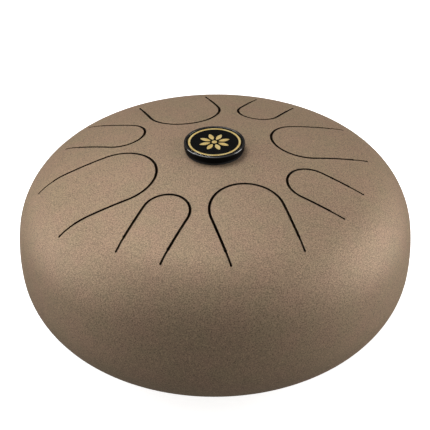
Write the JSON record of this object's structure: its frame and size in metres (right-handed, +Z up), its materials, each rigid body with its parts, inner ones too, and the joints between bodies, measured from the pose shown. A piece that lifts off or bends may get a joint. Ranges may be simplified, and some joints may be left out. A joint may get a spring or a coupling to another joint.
{
  "type": "steel tongue drum",
  "caption": "Round steel tongue drum: two pressed shells, U-slotted tongues of two lengths around a round badge, sound hole below and rubber feet.",
  "frame": {"origin": "on the drum's vertical axis, at the level of the feet's soles", "axes": "+Z up along the axis, -Y towards the player, midway between two tongues; +X to the player's right"},
  "size_m": [0.305, 0.305, 0.1738],
  "materials": {
    "bronze_powder_coat": "fine textured matte powder coat with a slight metallic sheen",
    "weld_bead": "rough heat-tinted weld bead",
    "trim_rubber": "satin extruded rubber",
    "badge_black": "gloss rim with a matte side",
    "label_black": "matte printed film",
    "gold_foil": "hot-stamped gold foil",
    "clear_resin": "clear gloss resin",
    "foam_pad": "closed-cell foam",
    "foot_rubber": "matte moulded rubber",
    "zinc_plated_steel": "bright zinc plate"
  },
  "bodies": {
    "drum": {"badge_body": "badge_black", "badge_dome": "clear_resin", "badge_emblem": "gold_foil", "badge_label": "label_black", "badge_pad": "foam_pad", "badge_ring": "gold_foil", "badge_screw": "zinc_plated_steel", "badge_washer": "zinc_plated_steel", "foot_1": "foot_rubber", "foot_2": "foot_rubber", "foot_3": "foot_rubber", "foot_backing_washer_1": "zinc_plated_steel", "foot_backing_washer_2": "zinc_plated_steel", "foot_backing_washer_3": "zinc_plated_steel", "foot_nut_1": "zinc_plated_steel", "foot_nut_2": "zinc_plated_steel", "foot_nut_3": "zinc_plated_steel", "foot_screw_1": "zinc_plated_steel", "foot_screw_2": "zinc_plated_steel", "foot_screw_3": "zinc_plated_steel", "foot_washer_1": "zinc_plated_steel", "foot_washer_2": "zinc_plated_steel", "foot_washer_3": "zinc_plated_steel", "lower_shell": "bronze_powder_coat", "seam_weld": "weld_bead", "sound_hole_trim": "trim_rubber", "upper_shell": "bronze_powder_coat"},
    "tongue_1": {"tongue_1": "bronze_powder_coat"},
    "tongue_2": {"tongue_2": "bronze_powder_coat"},
    "tongue_3": {"tongue_3": "bronze_powder_coat"},
    "tongue_4": {"tongue_4": "bronze_powder_coat"},
    "tongue_5": {"tongue_5": "bronze_powder_coat"},
    "tongue_6": {"tongue_6": "bronze_powder_coat"},
    "tongue_7": {"tongue_7": "bronze_powder_coat"},
    "tongue_8": {"tongue_8": "bronze_powder_coat"}
  },
  "joints": [
    {"name": "tongue_1_flexure", "type": "hinge", "parent": "drum", "child": "tongue_1", "pos_m": [-0.12103, -0.05013, 0.13759], "axis": [-0.3827, 0.9239, 0], "range_deg": [-0.4, 0.4], "stiffness_Nm_per_rad": 202},
    {"name": "tongue_2_flexure", "type": "hinge", "parent": "drum", "child": "tongue_2", "pos_m": [0.04573, -0.1104, 0.14485], "axis": [-0.9239, -0.3827, 0], "range_deg": [-0.4, 0.4], "stiffness_Nm_per_rad": 215},
    {"name": "tongue_3_flexure", "type": "hinge", "parent": "drum", "child": "tongue_3", "pos_m": [0.10671, 0.0442, 0.14654], "axis": [0.3827, -0.9239, 0], "range_deg": [-0.4, 0.4], "stiffness_Nm_per_rad": 203},
    {"name": "tongue_4_flexure", "type": "hinge", "parent": "drum", "child": "tongue_4", "pos_m": [-0.04707, -0.11364, 0.14305], "axis": [-0.9239, 0.3827, 0], "range_deg": [-0.4, 0.4], "stiffness_Nm_per_rad": 160},
    {"name": "tongue_5_flexure", "type": "hinge", "parent": "drum", "child": "tongue_5", "pos_m": [-0.04056, 0.09793, 0.14963], "axis": [0.9239, 0.3827, 0], "range_deg": [-0.4, 0.4], "stiffness_Nm_per_rad": 267},
    {"name": "tongue_6_flexure", "type": "hinge", "parent": "drum", "child": "tongue_6", "pos_m": [-0.11133, 0.04611, 0.14437], "axis": [0.3827, 0.9239, 0], "range_deg": [-0.4, 0.4], "stiffness_Nm_per_rad": 170},
    {"name": "tongue_7_flexure", "type": "hinge", "parent": "drum", "child": "tongue_7", "pos_m": [0.10625, -0.04401, 0.14673], "axis": [-0.3827, -0.9239, 0], "range_deg": [-0.4, 0.4], "stiffness_Nm_per_rad": 189},
    {"name": "tongue_8_flexure", "type": "hinge", "parent": "drum", "child": "tongue_8", "pos_m": [0.04171, 0.1007, 0.1487], "axis": [0.9239, -0.3827, 0], "range_deg": [-0.4, 0.4], "stiffness_Nm_per_rad": 190}
  ]
}
